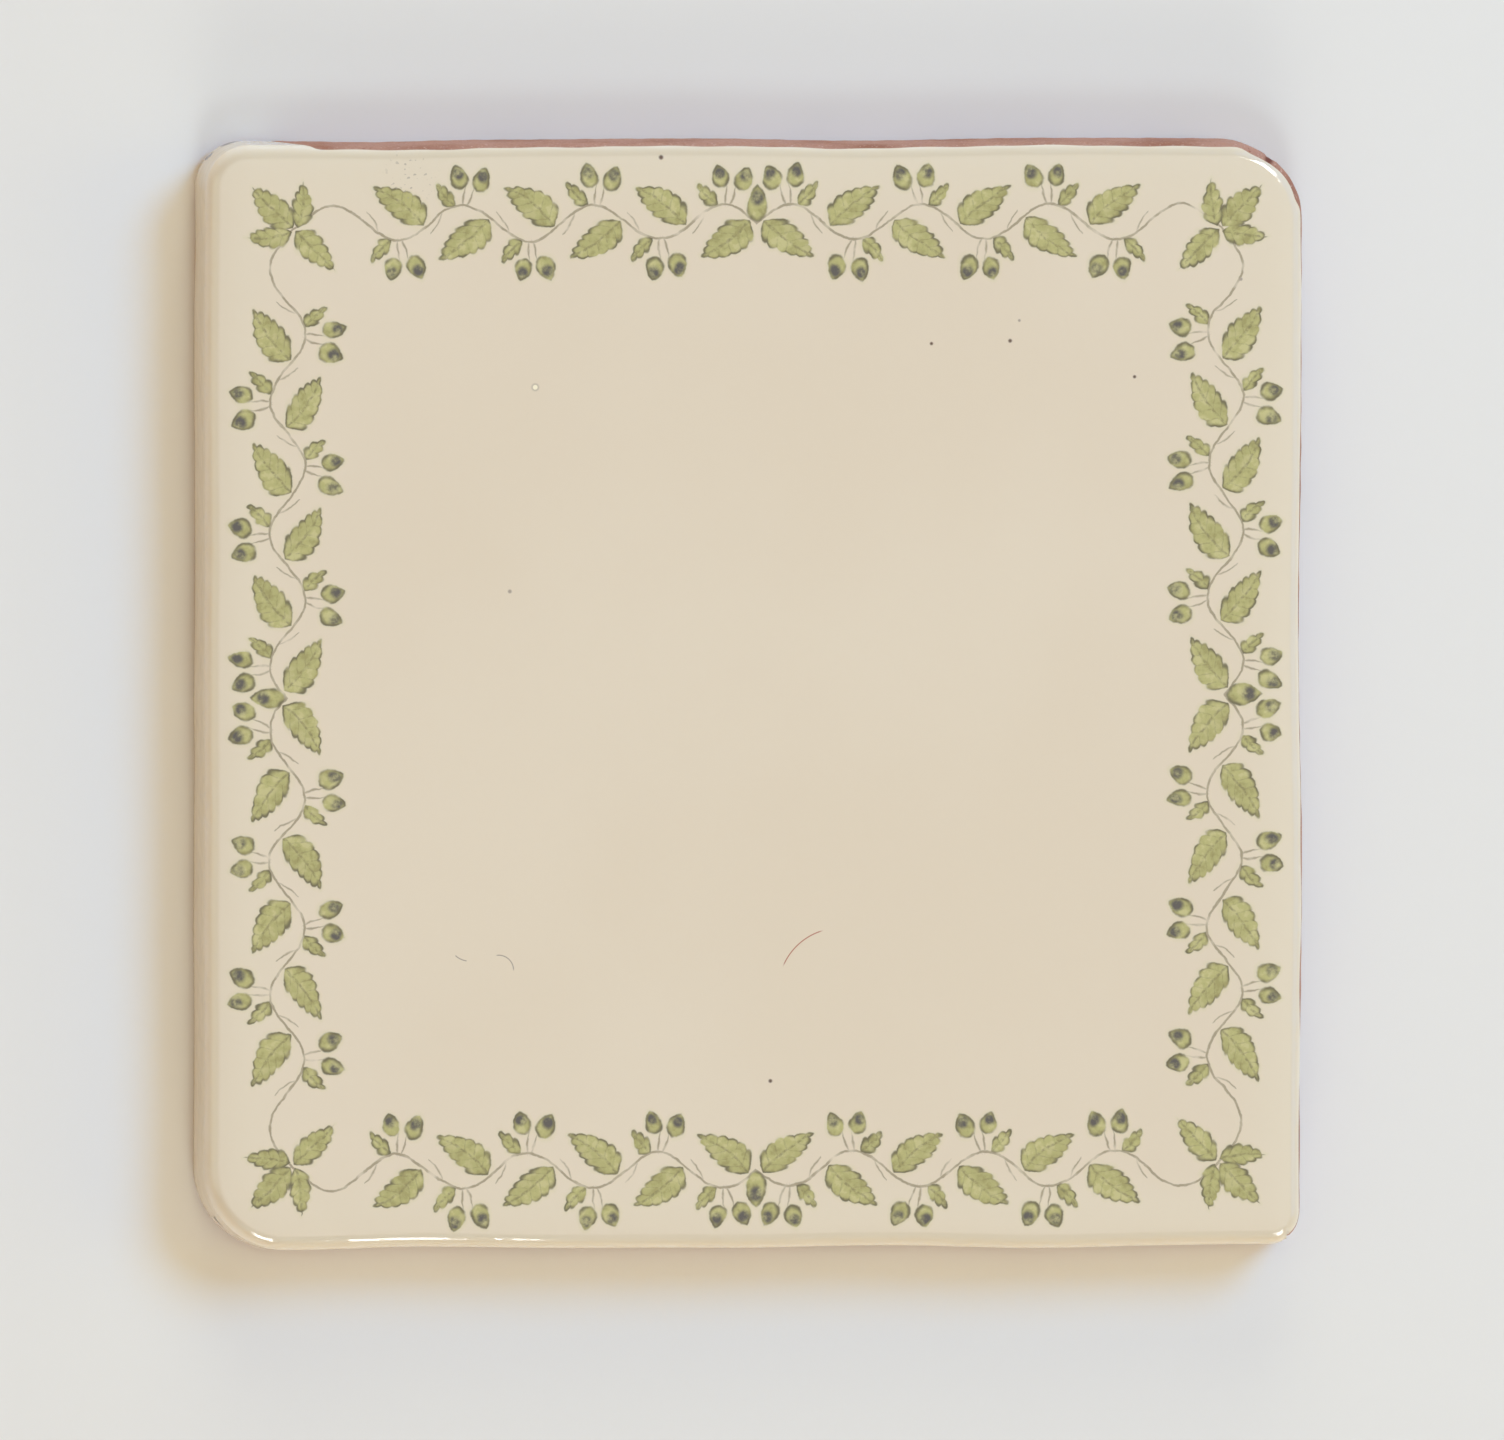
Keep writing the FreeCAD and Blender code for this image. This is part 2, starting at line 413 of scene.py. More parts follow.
def in_patch(places):
    """The same places, shrunk into the map's corner."""
    return patch_corner + patch_size * places


# The clay lies under the glaze, and comes out nearly flush where it is bare.
bare_clay_depth = 0.05 * MM
flush_from_glaze = 1.6 * MM
tool_marks = 0.10 * MM
tool_wavelengths = np.array((9.1, 5.3, 3.1, 2.3)) * MM
back_hollow = 0.12 * MM
hollow_from_rim = 0.1
rings_near_rim = 0.8
chip = {"place": (61.4, 63.2), "radius": 0.5, "depth": 0.45 * MM}

clay_run = np.linspace(0, skin_length, clay_rows_down)[:, None]
bare = smoothstep((clay_run - reach - glaze_thickness) / flush_from_glaze)
clay_depth = glaze_thickness - glaze_bedding + (bare_clay_depth - glaze_thickness) * bare
clay_plan = skin(clay_run)[..., :2]
clay_depth += bare * tool_marks * unevenness(clay_plan, tool_wavelengths, seed=21)
from_chip = np.linalg.norm(clay_plan / MM - chip["place"], axis=-1)
clay_depth += chip["depth"] * np.exp(-((from_chip / chip["radius"]) ** 2))
clay_walls = skin(clay_run, clay_depth)

top_shares = np.linspace(0, 1, clay_rings_on_top + 1)[1:-1]
clay_top = face_rings(top_shares, glaze_thickness - glaze_bedding)
foot_out = side_splay - foot_arris
back_rim = rings_at(np.full((1, points_around), foot_out), np.zeros((1, 1)))
back_shares = np.linspace(1, 0, clay_rings_on_back + 1)[:-1] ** rings_near_rim
back_plan = back_rim[..., :2] * back_shares[:, None, None]
hollow = back_hollow * smoothstep((1 - back_shares) / hollow_from_rim)[:, None]
back_height = hollow * unevenness(back_plan, face_wavelengths, seed=5)
clay_back = np.concatenate([back_plan, back_height[..., None]], axis=-1)
clay_rings = np.concatenate([clay_top, clay_walls, clay_back])
clay_rings = clay_rings[::-1, ::-1]

back_chart = map_middle + back_plan / map_width
walls_out = foot_out + foot_arris + skin_length - np.linspace(0, skin_length, clay_rows_down)
walls_chart = folded_out(np.broadcast_to(walls_out[:, None], (clay_rows_down, points_around)))
top_chart = map_middle + clay_top[..., :2] / map_width
clay_chart = np.concatenate([top_chart, walls_chart, back_chart])[::-1, ::-1]
rows_on_show = clay_rings_on_back + clay_rows_down - 1
clay_body = smooth_piece("clay_body", clay_rings, clay_chart, rows_on_show, in_patch(clay_chart))
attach(clay_body, BODY)
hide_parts(NODE)


def link_or_set(tree, socket, value):
    """Feed an input from another node's output, or give it a plain value."""
    if isinstance(value, bpy.types.NodeSocket):
        tree.links.new(value, socket)
    else:
        socket.default_value = value


def calc(tree, operation, *values):
    """A Math node over outputs or numbers, and its result."""
    node = tree.nodes.new("ShaderNodeMath")
    node.operation = operation
    for socket, value in zip(node.inputs, values):
        link_or_set(tree, socket, value)
    return node.outputs["Value"]


def ease(tree, value, low, high):
    """0 up to low, 1 from high on, and smooth between."""
    node = tree.nodes.new("ShaderNodeMapRange")
    node.interpolation_type = "SMOOTHSTEP"
    link_or_set(tree, node.inputs["Value"], value)
    link_or_set(tree, node.inputs["From Min"], low)
    link_or_set(tree, node.inputs["From Max"], high)
    return node.outputs["Result"]


def lay_over(tree, ground, colour, mask):
    """A colour laid over the ground where the mask is 1."""
    node = tree.nodes.new("ShaderNodeMix")
    node.data_type = "RGBA"
    link_or_set(tree, node.inputs["Factor"], mask)
    link_or_set(tree, node.inputs["A"], ground)
    link_or_set(tree, node.inputs["B"], colour)
    return node.outputs["Result"]


def noise(tree, places, size, detail=2.0, roughness=0.5):
    """The outputs of a Noise texture whose spots are about this size, in the units of places."""
    node = tree.nodes.new("ShaderNodeTexNoise")
    link_or_set(tree, node.inputs["Vector"], places)
    node.inputs["Scale"].default_value = 1 / size
    node.inputs["Detail"].default_value = detail
    node.inputs["Roughness"].default_value = roughness
    return node.outputs


def places_in_mm(tree):
    """Object coordinates in millimetres."""
    coordinates = tree.nodes.new("ShaderNodeTexCoord")
    scale = tree.nodes.new("ShaderNodeVectorMath")
    scale.operation = "SCALE"
    scale.inputs["Scale"].default_value = 1 / MM
    tree.links.new(coordinates.outputs["Object"], scale.inputs[0])
    return scale.outputs["Vector"]


def length_of(tree, across, up):
    """The length of a step with these two parts."""
    squares = calc(tree, "ADD", calc(tree, "MULTIPLY", across, across), calc(tree, "MULTIPLY", up, up))
    return calc(tree, "SQRT", squares)


def spot(tree, x, y, speck, softness=0.5):
    """A round spot: 1 inside its radius, fading out over this share of it."""
    middle_x, middle_y, radius = speck
    off = length_of(tree, calc(tree, "SUBTRACT", x, middle_x), calc(tree, "SUBTRACT", y, middle_y))
    return ease(tree, off, radius * (1 + softness), radius * (1 - softness))


def srgb(red, green, blue):
    """A colour read in display values from 0 to 255, as a linear one for a shader."""
    share = np.array((red, green, blue)) / 255
    linear = np.where(share > 0.04045, ((share + 0.055) / 1.055) ** 2.4, share / 12.92)
    return (*linear.tolist(), 1)


clay_colour = srgb(180, 138, 124)
clay_dark = srgb(156, 108, 90)
clay_pale = srgb(202, 168, 157)
clay_chip_shade = srgb(112, 66, 56)
clay_roughness = 0.85
clay_gloss = 0.25
grain_height = 0.06 * MM
clay_patch_size = 9.0
clay_grain_size = 0.35

# From where to where in its noise each tint of the clay comes in.
dark_patches = (0.42, 0.75)
pale_grains = (0.56, 0.72)
dark_grains = (0.42, 0.30)

clay = bpy.data.materials.new("fired_terracotta")
clay.use_nodes = True
tree = clay.node_tree
shader = tree.nodes["Principled BSDF"]
places = places_in_mm(tree)
split = tree.nodes.new("ShaderNodeSeparateXYZ")
tree.links.new(places, split.inputs["Vector"])
patches = noise(tree, places, clay_patch_size, detail=3)["Fac"]
grain = noise(tree, places, clay_grain_size, detail=3, roughness=0.6)["Fac"]
colour = lay_over(tree, clay_colour, clay_dark, ease(tree, patches, *dark_patches))
colour = lay_over(tree, colour, clay_pale, ease(tree, grain, *pale_grains))
colour = lay_over(tree, colour, clay_dark, ease(tree, grain, *dark_grains))
# The chip's hollow is coloured darker: painted shade.
chip_shade = spot(tree, split.outputs["X"], split.outputs["Y"], (*chip["place"], chip["radius"]))
colour = lay_over(tree, colour, clay_chip_shade, chip_shade)
tree.links.new(colour, shader.inputs["Base Color"])
shader.inputs["Roughness"].default_value = clay_roughness
shader.inputs["Specular IOR Level"].default_value = clay_gloss
bump = tree.nodes.new("ShaderNodeBump")
bump.inputs["Distance"].default_value = grain_height
tree.links.new(grain, bump.inputs["Height"])
tree.links.new(bump.outputs["Normal"], shader.inputs["Normal"])
clay_body.data.materials.append(clay)


# The glaze coat
# A cream glaze, about 0.3 mm thick, poured over the face and run down the walls. It ends in a soft
# lip: high on the top and right walls, near the foot on the bottom and left ones.
glaze_face_rings = 30
glaze_rows_down = 36
lip_rows = 6
glaze_inner_rows = 8
glaze_inner_rings = 5
face_rings_near_rim = 1.8

face_shares = 1 - np.linspace(1, 0, glaze_face_rings + 1)[1:-1] ** face_rings_near_rim
glaze_face = face_rings(face_shares)
down = np.linspace(0, 1, glaze_rows_down)[:, None]
glaze_outside = skin(down * reach)
lip_turn = np.linspace(0, math.pi, lip_rows + 2)[1:-1, None]
lip_run = reach + glaze_thickness / 2 * np.sin(lip_turn)
lip_depth = glaze_thickness / 2 * (1 - np.cos(lip_turn))
glaze_lip = skin(lip_run, lip_depth)
glaze_inside = skin(np.linspace(1, 0, glaze_inner_rows)[:, None] * reach, glaze_thickness)
inner_shares = np.linspace(1, 0, glaze_inner_rings + 1)[1:-1]
glaze_under_face = face_rings(inner_shares, glaze_thickness)
glaze_rings = np.concatenate([glaze_face, glaze_outside, glaze_lip, glaze_inside, glaze_under_face])

face_chart = map_middle + glaze_face[..., :2] / map_width
outside_chart = folded_out(down * reach - rim_inset)
lip_chart = folded_out(reach + glaze_thickness * lip_turn / 2 - rim_inset)
glaze_hidden = np.concatenate([glaze_inside, glaze_under_face])
inside_chart = map_middle + glaze_hidden[..., :2] / map_width
glaze_chart = np.concatenate([face_chart, outside_chart, lip_chart, inside_chart])
rows_on_show = glaze_face_rings - 1 + glaze_rows_down + lip_rows - 1
glaze_coat = smooth_piece("glaze_coat", glaze_rings, glaze_chart, rows_on_show, in_patch(glaze_chart))
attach(glaze_coat, BODY)
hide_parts(NODE)


def new_group(name, inputs, outputs):
    """An empty node group of plain numbers, with its inner ends."""
    group = bpy.data.node_groups.new(name, "ShaderNodeTree")
    for label in inputs:
        group.interface.new_socket(label, in_out="INPUT", socket_type="NodeSocketFloat")
    for label in outputs:
        group.interface.new_socket(label, in_out="OUTPUT", socket_type="NodeSocketFloat")
    start = group.nodes.new("NodeGroupInput").outputs
    end = group.nodes.new("NodeGroupOutput").inputs
    return group, start, end


def place(tree, group, values):
    """A node group in a tree, with its inputs set or fed by name, and its outputs."""
    node = tree.nodes.new("ShaderNodeGroup")
    node.node_tree = group
    for label, value in values.items():
        link_or_set(tree, node.inputs[label], value)
    return node.outputs


leaf, given, wanted = new_group(
    "printed_leaf",
    ("X", "Y", "Base X", "Base Y", "Angle", "Length", "Width", "Bow", "Teeth"),
    ("Inside", "Rib", "Shade", "Blotch"),
)
# A leaf is where two equal circles overlap: its depth inside is the radius less the distance from
# the further centre. Its midrib bows sideways, it narrows to its tip, and teeth notch its edge.
tooth_pitch = 1.3
tooth_slant = 0.7
narrowing = 0.55
broadest_share = 0.45
least_widening = 0.2
midrib_line = (0.24, 0.06)
side_rib_line = (0.34, 0.06)
side_rib_ink = 0.6
shaded_side = (-0.2, 0.7)
blotch_share = 0.64
blotch_spread = (0.46, 0.18)
east = calc(leaf, "SUBTRACT", given["X"], given["Base X"])
north = calc(leaf, "SUBTRACT", given["Y"], given["Base Y"])
cosine = calc(leaf, "COSINE", given["Angle"])
sine = calc(leaf, "SINE", given["Angle"])
along = calc(leaf, "ADD", calc(leaf, "MULTIPLY", east, cosine), calc(leaf, "MULTIPLY", north, sine))
across = calc(leaf, "SUBTRACT", calc(leaf, "MULTIPLY", north, cosine), calc(leaf, "MULTIPLY", east, sine))
bowed = calc(leaf, "MULTIPLY", calc(leaf, "MULTIPLY", along, along), given["Bow"])
off_rib = calc(leaf, "SUBTRACT", across, bowed)
across = calc(leaf, "ABSOLUTE", off_rib)
share = calc(leaf, "DIVIDE", along, given["Length"])
widening = calc(leaf, "MULTIPLY_ADD", share, narrowing, 1 - narrowing * broadest_share)
widening = calc(leaf, "MAXIMUM", widening, least_widening)
side = calc(leaf, "MULTIPLY", across, widening)
half = calc(leaf, "MULTIPLY", given["Length"], 0.5)
half_wide = calc(leaf, "MULTIPLY", given["Width"], 0.5)
half_squared = calc(leaf, "MULTIPLY", half, half)
squares = calc(leaf, "ADD", half_squared, calc(leaf, "MULTIPLY", half_wide, half_wide))
radius = calc(leaf, "DIVIDE", squares, given["Width"])
from_middle = calc(leaf, "SUBTRACT", along, half)
from_centre = calc(leaf, "ADD", side, calc(leaf, "SUBTRACT", radius, half_wide))
inside = calc(leaf, "SUBTRACT", radius, length_of(leaf, from_middle, from_centre))
slanted = calc(leaf, "SUBTRACT", along, calc(leaf, "MULTIPLY", across, tooth_slant))
beat = calc(leaf, "ABSOLUTE", calc(leaf, "SINE", calc(leaf, "MULTIPLY", slanted, math.pi / tooth_pitch)))
notch = calc(leaf, "MULTIPLY", calc(leaf, "SUBTRACT", 1.0, beat), given["Teeth"])
leaf.links.new(calc(leaf, "SUBTRACT", inside, notch), wanted["Inside"])
midrib = ease(leaf, across, *midrib_line)
side_rib = calc(leaf, "MULTIPLY", ease(leaf, beat, *side_rib_line), side_rib_ink)
toothed = calc(leaf, "GREATER_THAN", given["Teeth"], 0.0)
ribs = calc(leaf, "MULTIPLY", calc(leaf, "MAXIMUM", midrib, side_rib), toothed)
leaf.links.new(ribs, wanted["Rib"])
leaf.links.new(ease(leaf, off_rib, *shaded_side), wanted["Shade"])
from_blotch = calc(leaf, "MULTIPLY", calc(leaf, "SUBTRACT", share, blotch_share), given["Length"])
blotch_reach = calc(leaf, "DIVIDE", length_of(leaf, from_blotch, across), given["Width"])
untoothed = calc(leaf, "SUBTRACT", 1.0, toothed)
blotch = calc(leaf, "MULTIPLY", ease(leaf, blotch_reach, *blotch_spread), untoothed)
leaf.links.new(blotch, wanted["Blotch"])


# The printed border, in millimetres. It is the same on all four sides and on both halves of each:
# a point is folded to how far out it lies and how far along from the middle of its side.
garland_line = 56.0
half_wave = 7.8
swing = 2.1
stem_width = 0.26
stem_edge = (0.75, 0.3)
stalk_edge = (-0.10, 0.10)
last_wave = 5.5
slow_wobble, slow_wobble_size = 1.0, 6
quick_wobble, quick_wobble_size = 0.34, 0.9
teeth_depth = 0.26

# Stations of one half wave: across from its start, and out on the side to which the stem bulges.
leaf_kinds = {
    "broad leaf": {"Base X": 0.75, "Base Y": 0.5, "Angle": -52, "Length": 7.4, "Width": 3.9, "Bow": 0.035},
    "side leaf": {"Base X": 4.6, "Base Y": 2.0, "Angle": 33, "Length": 3.7, "Width": 1.9, "Bow": 0.06},
}
bud_kinds = {
    "first bud": {"Base X": 2.3, "Base Y": 3.9, "Angle": 118, "Length": 3.0, "Width": 2.2, "Bow": -0.02},
    "second bud": {"Base X": 4.15, "Base Y": 4.2, "Angle": 72, "Length": 2.8, "Width": 2.1, "Bow": 0.02},
}
stalk_kinds = {
    "first stalk": {"Base X": 3.5, "Base Y": 1.95, "Angle": 122, "Length": 2.5, "Width": 0.26, "Bow": -0.1},
    "second stalk": {"Base X": 3.9, "Base Y": 2.0, "Angle": 84, "Length": 2.5, "Width": 0.26, "Bow": 0.08},
    "tendril": {"Base X": 6.3, "Base Y": 1.1, "Angle": -75, "Length": 3.6, "Width": 0.2, "Bow": 0.11},
}
middle_bud = {"Base X": 0.0, "Base Y": 0.2, "Angle": 90, "Length": 4.2, "Width": 2.5, "Bow": 0.0}

# The corner, as places along the diagonal from the tile's middle and aside from it.
corner_leaves = {
    "outer leaf": {"Base X": 78.3, "Base Y": 0.0, "Angle": 0, "Length": 6.9, "Width": 3.5, "Bow": 0.0},
    "inner leaf": {"Base X": 78.1, "Base Y": 0.0, "Angle": 180, "Length": 6.8, "Width": 3.2, "Bow": 0.0},
    "side leaf": {"Base X": 78.0, "Base Y": 0.3, "Angle": 62, "Length": 5.6, "Width": 2.8, "Bow": -0.03},
}

border, given, wanted = new_group(
    "printed_border", ("X", "Y"), ("Inside", "Rib", "Shade", "Stem", "Blotch")
)
join = border.nodes.new("ShaderNodeCombineXYZ")
border.links.new(given["X"], join.inputs["X"])
border.links.new(given["Y"], join.inputs["Y"])
flat_place = join.outputs["Vector"]


def hand_drawn(tree, across, up, places, amount, size):
    """Two coordinates, each shifted by its own noise of this size, up to half the amount either way."""
    parts = tree.nodes.new("ShaderNodeSeparateColor")
    tree.links.new(noise(tree, places, size)["Color"], parts.inputs["Color"])
    shifted = []
    for value, part in ((across, "Red"), (up, "Green")):
        shift = calc(tree, "MULTIPLY_ADD", parts.outputs[part], amount, -amount / 2)
        shifted.append(calc(tree, "ADD", value, shift))
    return shifted


drawn_x, drawn_y = hand_drawn(border, given["X"], given["Y"], flat_place, slow_wobble, slow_wobble_size)
drawn_x, drawn_y = hand_drawn(border, drawn_x, drawn_y, flat_place, quick_wobble, quick_wobble_size)
size_x = calc(border, "ABSOLUTE", drawn_x)
size_y = calc(border, "ABSOLUTE", drawn_y)
out = calc(border, "MAXIMUM", size_x, size_y)
along = calc(border, "MINIMUM", size_x, size_y)
waves = calc(border, "DIVIDE", along, half_wave)
wave = calc(border, "FLOOR", waves)
share = calc(border, "FRACT", waves)
flip = calc(border, "MULTIPLY_ADD", calc(border, "MODULO", wave, 2.0), -2.0, 1.0)
cell_x = calc(border, "MULTIPLY", share, half_wave)
off_line = calc(border, "SUBTRACT", out, garland_line)
cell_y = calc(border, "MULTIPLY", off_line, flip)
in_garland = calc(border, "LESS_THAN", wave, last_wave)
everywhere = 1.0

turned = calc(border, "MULTIPLY", share, math.pi)
stem_y = calc(border, "MULTIPLY", calc(border, "SINE", turned), swing)
slope = calc(border, "MULTIPLY", calc(border, "COSINE", turned), swing * math.pi / half_wave)
off_stem = calc(border, "ABSOLUTE", calc(border, "SUBTRACT", cell_y, stem_y))
off_stem = calc(border, "DIVIDE", off_stem, length_of(border, 1.0, slope))
stem = ease(border, off_stem, stem_width * stem_edge[0], stem_width * stem_edge[1])

diagonal = calc(border, "MULTIPLY", calc(border, "ADD", out, along), math.sqrt(0.5))
aside = calc(border, "MULTIPLY", calc(border, "SUBTRACT", out, along), math.sqrt(0.5))

far_outside = -9.0
drawings = [(kind, cell_x, cell_y, teeth_depth, in_garland) for kind in leaf_kinds.values()]
drawings += [(kind, cell_x, cell_y, 0.0, in_garland) for kind in bud_kinds.values()]
drawings += [(kind, diagonal, aside, teeth_depth, everywhere) for kind in corner_leaves.values()]
drawings += [(middle_bud, along, off_line, 0.0, everywhere)]
marks = {"Inside": far_outside, "Rib": 0.0, "Shade": 0.0, "Blotch": 0.0}
for kind, x, y, teeth, shown in drawings:
    values = {**kind, "Angle": math.radians(kind["Angle"])}
    drawn = place(border, leaf, {"X": x, "Y": y, "Teeth": teeth, **values})
    hidden_by = calc(border, "MULTIPLY_ADD", shown, -far_outside, far_outside)
    depth = calc(border, "ADD", drawn["Inside"], hidden_by)
    on_leaf = calc(border, "GREATER_THAN", depth, 0.0)
    marks["Inside"] = calc(border, "MAXIMUM", marks["Inside"], depth)
    for label in ("Rib", "Shade", "Blotch"):
        mark = calc(border, "MULTIPLY", drawn[label], on_leaf)
        marks[label] = calc(border, "MAXIMUM", marks[label], mark)

for kind in stalk_kinds.values():
    values = {**kind, "Angle": math.radians(kind["Angle"])}
    drawn = place(border, leaf, {"X": cell_x, "Y": cell_y, "Teeth": 0.0, **values})
    stroke = calc(border, "MULTIPLY", ease(border, drawn["Inside"], *stalk_edge), in_garland)
    stem = calc(border, "MAXIMUM", stem, stroke)

for label, value in marks.items():
    border.links.new(value, wanted[label])
border.links.new(stem, wanted["Stem"])

# Small marks of handling and firing. Specks are given as place and radius, hairs and scratches as
# three places and a width, and the marks low on the walls as place, height and radius, all in
# millimetres.
dark_specks = (
    (-11.5, 63.7, 0.26),
    (20.8, 41.6, 0.19),
    (30.2, 41.9, 0.22),
    (45.1, 37.6, 0.19),
    (1.7, -45.5, 0.22),
)
faint_specks = ((31.3, 44.3, 0.16), (-29.5, 12.5, 0.22), (57.8, 49.1, 0.20))
red_hairs = (((3.4, -31.5), (5.1, -29.3), (8.15, -27.7), 0.10),)
grey_hairs = (
    ((-36.0, -30.4), (-35.3, -30.9), (-34.7, -31.1), 0.10),
    ((-31.1, -30.5), (-29.6, -30.9), (-29.0, -32.5), 0.10),
)
wall_marks = ((-64.4, 63.8, 2.0, 0.75), (-62.0, 65.3, 2.0, 0.95), (-63.4, -62.1, 3.6, 0.8))
hair_core = 0.3
mark_raggedness = 3.0
mark_edge = (1.1, 0.6)
mean_noise = 0.5
blob = (-26.5, 36.6, 0.42)
blob_heart = (-26.5, 36.6, 0.294)
freckles = {"place": (-41.4, 61.5), "reach": 2.6, "size": 0.4}


def hair(tree, x, y, line):
    """A thin arc through three places, as the ring of the circle through them near its middle.

    The circle's centre is as far from all three: twice the centre times the step between two
    places is the difference of their squared distances from the origin.
    """
    first, middle, last, width = line
    ends = np.array((first, middle, last))
    steps = 2 * np.diff(ends, axis=0)
    centre = np.linalg.solve(steps, np.diff((ends**2).sum(axis=1)))
    radius = np.linalg.norm(ends[1] - centre)
    reach = np.linalg.norm(ends[2] - ends[0]) / 2
    away = length_of(tree, calc(tree, "SUBTRACT", x, centre[0]), calc(tree, "SUBTRACT", y, centre[1]))
    off_ring = calc(tree, "ABSOLUTE", calc(tree, "SUBTRACT", away, radius))
    ring = ease(tree, off_ring, width, width * hair_core)
    near = spot(tree, x, y, (*ends[1], reach), softness=0.12)
    return calc(tree, "MULTIPLY", ring, near)


def any_of(tree, masks):
    """The strongest of some masks."""
    strongest = masks[0]
    for mask in masks[1:]:
        strongest = calc(tree, "MAXIMUM", strongest, mask)
    return strongest


glaze_cream = srgb(226, 213, 193)
glaze_warm = srgb(224, 210, 189)
# The pale glaze over the shoulder, partly painted sheen.
pale_glaze_and_sheen = srgb(238, 230, 218)
glaze_pooled = srgb(225, 213, 192)
leaf_green = srgb(181, 177, 113)
leaf_pale = srgb(195, 190, 132)
leaf_deep = srgb(146, 141, 80)
leaf_edge = srgb(84, 77, 46)
stem_brown = srgb(160, 148, 122)
blotch_dark = srgb(74, 70, 66)
halo_green = srgb(212, 206, 166)
speck_brown = srgb(96, 74, 62)
speck_grey = srgb(168, 156, 142)
hair_red = srgb(176, 112, 92)
dash_grey = srgb(104, 94, 92)
blob_pale = srgb(246, 238, 212)

glaze_roughness = 0.07
glaze_ior = 1.5
ripple_size = 2.2
ripple_height = 0.05 * MM

# The sizes of the noises in millimetres: the glaze's tint, the watery ink, the press of the print
# and the broken ink of its ribs.
cloud_size = 45.0
wash_size = 1.3
press_size = 2.0
broken_size = 0.45

# From where to where each tint comes in: by its noise, by millimetres from the tile's middle, along
# the tile or up its walls, or by millimetres inside a leaf's edge.
warm_clouds = (0.35, 0.65)
pooled_from_middle = (55.0, 62.0)
past_near_side = (-65.0, -62.0)
up_the_walls = (6.5, 8.0)
over_the_shoulder = (9.65, 8.7)
halo_edge = (-0.6, 0.0)
stem_press = (0.15, 0.6)
pale_wash = (0.50, 0.36)
deep_wash = (0.50, 0.70)
rib_breaks = (0.25, 0.7)
leaf_fill = (-0.08, 0.14)
blotch_wash = (0.2, 0.6)
edge_press = (0.28, 0.62)
edge_outside = (-0.16, 0.04)
edge_inside = 0.06
edge_width, edge_widening = 0.12, 0.6
freckle_dots = (0.68, 0.76)

# How strongly some of them are laid on.
# The pale band over the shoulder is partly painted sheen: it is laid on weaker on the near side and low on
# the walls.
near_side_share = 0.4
wall_share = 0.5
halo_ink = 0.35
wash_ink = 0.7
shade_ink = 0.22
rib_ink = 0.55
edge_ink = 0.9
blob_ink = 0.8
freckle_ink = 0.7

glaze = bpy.data.materials.new("cream_glaze_with_print")
glaze.use_nodes = True
tree = glaze.node_tree
shader = tree.nodes["Principled BSDF"]
places = places_in_mm(tree)
split = tree.nodes.new("ShaderNodeSeparateXYZ")
tree.links.new(places, split.inputs["Vector"])
x, y, z = split.outputs["X"], split.outputs["Y"], split.outputs["Z"]
printed = place(tree, border, {"X": x, "Y": y})
clouds = noise(tree, places, cloud_size)["Fac"]
wash = noise(tree, places, wash_size, detail=3, roughness=0.6)["Fac"]
press = noise(tree, places, press_size)["Fac"]
broken = noise(tree, places, broken_size)["Fac"]

# The glaze: a cloudy cream, deeper near the rim, and paler over the shoulder: partly the thinning glaze,
# partly painted sheen, which is weaker on the near side and low on the walls.
colour = lay_over(tree, glaze_cream, glaze_warm, ease(tree, clouds, *warm_clouds))
from_middle = calc(tree, "MAXIMUM", calc(tree, "ABSOLUTE", x), calc(tree, "ABSOLUTE", y))
colour = lay_over(tree, colour, glaze_pooled, ease(tree, from_middle, *pooled_from_middle))
on_face = ease(tree, y, *past_near_side)
away_from_near = calc(tree, "MULTIPLY_ADD", on_face, 1 - near_side_share, near_side_share)
above_walls = calc(tree, "MULTIPLY_ADD", ease(tree, z, *up_the_walls), 1 - wall_share, wall_share)
thin_glaze_and_sheen = calc(tree, "MULTIPLY", away_from_near, above_walls)
thin_glaze_and_sheen = calc(tree, "MULTIPLY", ease(tree, z, *over_the_shoulder), thin_glaze_and_sheen)
colour = lay_over(tree, colour, pale_glaze_and_sheen, thin_glaze_and_sheen)

# The print: a faint halo, the stems, the mottled green, its ribs, dark blotches and a broken edge.
halo = calc(tree, "MULTIPLY", ease(tree, printed["Inside"], *halo_edge), halo_ink)
colour = lay_over(tree, colour, halo_green, halo)
stems = calc(tree, "MULTIPLY", printed["Stem"], ease(tree, press, *stem_press))
colour = lay_over(tree, colour, stem_brown, stems)
green = lay_over(tree, leaf_green, leaf_pale, ease(tree, wash, *pale_wash))
green = lay_over(tree, green, leaf_deep, calc(tree, "MULTIPLY", ease(tree, wash, *deep_wash), wash_ink))
green = lay_over(tree, green, leaf_deep, calc(tree, "MULTIPLY", printed["Shade"], shade_ink))
ribs = calc(tree, "MULTIPLY", printed["Rib"], ease(tree, broken, *rib_breaks))
green = lay_over(tree, green, leaf_edge, calc(tree, "MULTIPLY", ribs, rib_ink))
colour = lay_over(tree, colour, green, ease(tree, printed["Inside"], *leaf_fill))
blotch = calc(tree, "MULTIPLY", printed["Blotch"], ease(tree, wash, *blotch_wash))
colour = lay_over(tree, colour, blotch_dark, blotch)
edge_depth = calc(tree, "MULTIPLY_ADD", press, edge_widening, edge_width)
edge_inner = ease(tree, printed["Inside"], edge_depth, edge_inside)
edge_outer = ease(tree, printed["Inside"], *edge_outside)
edge_line = calc(tree, "MULTIPLY", edge_inner, edge_outer)
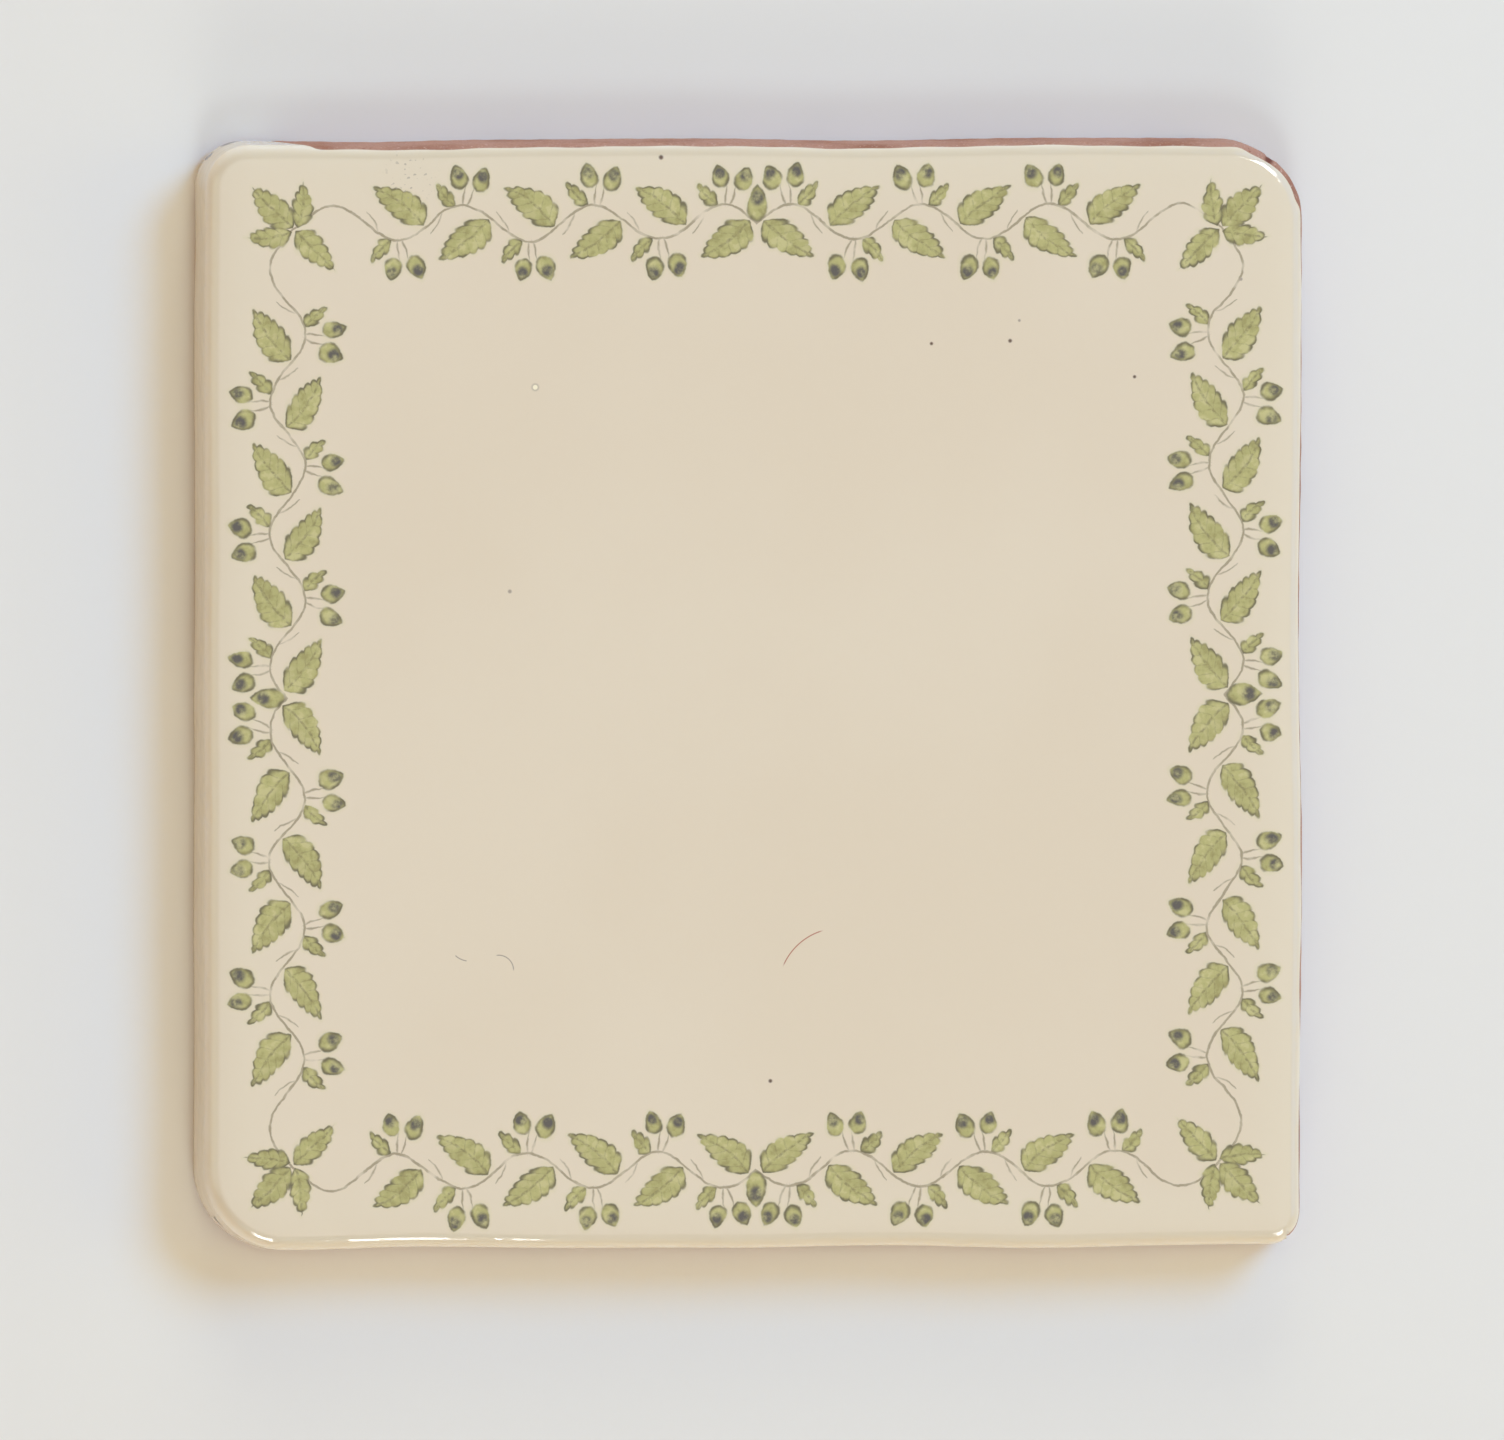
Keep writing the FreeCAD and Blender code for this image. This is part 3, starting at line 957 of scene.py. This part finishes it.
edge_line = calc(tree, "MULTIPLY", ease(tree, press, *edge_press), edge_line)
colour = lay_over(tree, colour, leaf_edge, calc(tree, "MULTIPLY", edge_line, edge_ink))

# The marks of handling and firing.
for mark_colour, specks in ((speck_brown, dark_specks), (speck_grey, faint_specks)):
    mask = any_of(tree, [spot(tree, x, y, speck) for speck in specks])
    colour = lay_over(tree, colour, mark_colour, mask)
for mark_colour, lines in ((hair_red, red_hairs), (speck_grey, grey_hairs)):
    mask = any_of(tree, [hair(tree, x, y, line) for line in lines])
    colour = lay_over(tree, colour, mark_colour, mask)
for mark_x, mark_y, mark_z, radius in wall_marks:
    beside = length_of(tree, calc(tree, "SUBTRACT", x, mark_x), calc(tree, "SUBTRACT", y, mark_y))
    off = length_of(tree, beside, calc(tree, "SUBTRACT", z, mark_z))
    off_mean = calc(tree, "SUBTRACT", broken, mean_noise)
    ragged = calc(tree, "MULTIPLY_ADD", off_mean, radius * mark_raggedness, off)
    mask = ease(tree, ragged, radius * mark_edge[0], radius * mark_edge[1])
    colour = lay_over(tree, colour, dash_grey, mask)
blob_shadow = spot(tree, x, y, blob, softness=0.45)
colour = lay_over(tree, colour, speck_grey, calc(tree, "MULTIPLY", blob_shadow, blob_ink))
colour = lay_over(tree, colour, blob_pale, spot(tree, x, y, blob_heart, softness=0.2))
near_freckles = spot(tree, x, y, (*freckles["place"], freckles["reach"]))
dots = ease(tree, noise(tree, places, freckles["size"], detail=0)["Fac"], *freckle_dots)
dots = calc(tree, "MULTIPLY", dots, near_freckles)
colour = lay_over(tree, colour, speck_grey, calc(tree, "MULTIPLY", dots, freckle_ink))
tree.links.new(colour, shader.inputs["Base Color"])
shader.inputs["Roughness"].default_value = glaze_roughness
shader.inputs["IOR"].default_value = glaze_ior
ripple = tree.nodes.new("ShaderNodeBump")
ripple.inputs["Distance"].default_value = ripple_height
tree.links.new(noise(tree, places, ripple_size, detail=1)["Fac"], ripple.inputs["Height"])
tree.links.new(ripple.outputs["Normal"], shader.inputs["Normal"])
glaze_coat.data.materials.append(glaze)
